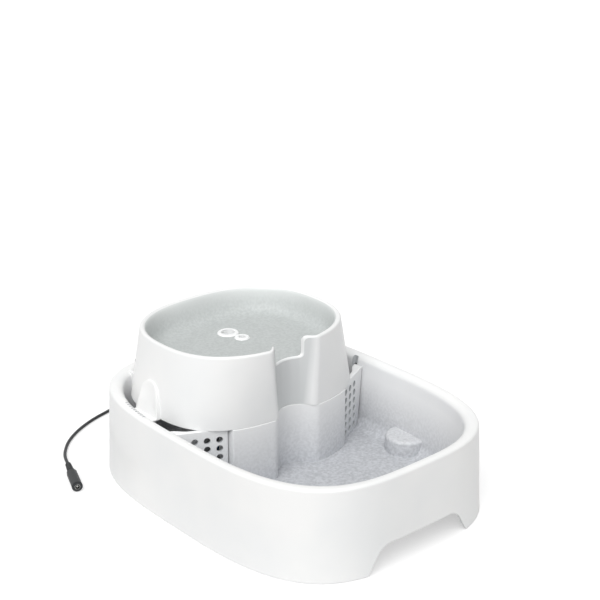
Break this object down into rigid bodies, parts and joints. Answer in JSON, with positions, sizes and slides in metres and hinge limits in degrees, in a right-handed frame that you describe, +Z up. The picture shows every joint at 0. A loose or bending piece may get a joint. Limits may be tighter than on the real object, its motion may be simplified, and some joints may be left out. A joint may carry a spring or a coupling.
{
  "type": "pet water fountain",
  "caption": "Rounded tub with a drinking basin in front, a pump bay behind, a framed filter between them and a raised bowl that spills back into the basin.",
  "frame": {"origin": "centre of the tub's footprint, on the floor", "axes": "+Z up, -Y towards the drinking basin, +X to the right seen from behind the bowl's spillway looking at the pump bay"},
  "size_m": [0.3401, 0.4753, 0.164],
  "materials": {
    "white_abs": "semi-gloss moulded",
    "grey_pp": "slightly translucent moulded",
    "pump_plastic": "fine texture",
    "pump_rubber": "soft",
    "label_film": "bare film",
    "core_steel": "laminated",
    "coil_copper": "enamelled wire",
    "shaft_ceramic": "ground",
    "magnet_ferrite": "sintered",
    "impeller_plastic": "moulded",
    "blue_pp": "semi-gloss moulded",
    "filter_fabric": "felt",
    "lead_pvc": "satin",
    "contact_metal": "plated"
  },
  "bodies": {
    "tub": {"base_tub": "white_abs", "front_divider": "white_abs", "left_bay_wall": "white_abs", "right_bay_wall": "white_abs", "left_strainer": "white_abs", "right_strainer": "white_abs", "pump_lead": "lead_pvc", "lead_coil": "lead_pvc", "coil_tie": "lead_pvc", "lead_end": "lead_pvc", "socket_shell": "lead_pvc", "socket_contact": "contact_metal"},
    "bowl": {"top_bowl": "white_abs", "inlet_collar": "grey_pp", "return_collar": "grey_pp"},
    "pump": {"pump_housing": "pump_plastic", "intake_cover": "pump_plastic", "volute_cover": "pump_plastic", "pump_feet": "pump_rubber", "rating_plate": "label_film", "pump_outlet": "grey_pp", "cable_gland": "pump_rubber", "stator_core": "core_steel", "stator_coil": "coil_copper", "rotor_shaft": "shaft_ceramic", "shaft_bushes": "pump_rubber", "riser_tube": "grey_pp", "return_tube": "grey_pp", "return_foot": "grey_pp"},
    "rotor": {"rotor_magnet": "magnet_ferrite", "impeller": "impeller_plastic"},
    "holder": {"filter_holder": "white_abs"},
    "cartridge": {"cartridge_tray": "blue_pp", "cartridge_lid": "blue_pp", "filter_media": "filter_fabric"}
  },
  "joints": [
    {"name": "bowl_lift", "type": "slide", "parent": "tub", "child": "bowl", "axis": [0, 0, 1], "range_m": [0, 0.303]},
    {"name": "pump_lift", "type": "slide", "parent": "tub", "child": "pump", "axis": [0, 0, 1], "range_m": [0, 0.2744]},
    {"name": "holder_lift", "type": "slide", "parent": "tub", "child": "holder", "axis": [0, 0, 1], "range_m": [0, 0.1886]},
    {"name": "cartridge_lift", "type": "slide", "parent": "tub", "child": "cartridge", "axis": [0, 0, 1], "range_m": [0, 0.148]},
    {"name": "impeller_spin", "type": "hinge", "parent": "pump", "child": "rotor", "pos_m": [0, 0.1215, 0.0466], "axis": [1, 0, 0], "continuous": true}
  ],
  "couplings": [
    {"joint": "pump_lift", "follows": "bowl_lift", "ratio": 0.90561},
    {"joint": "holder_lift", "follows": "bowl_lift", "ratio": 0.62244},
    {"joint": "cartridge_lift", "follows": "bowl_lift", "ratio": 0.48845}
  ]
}
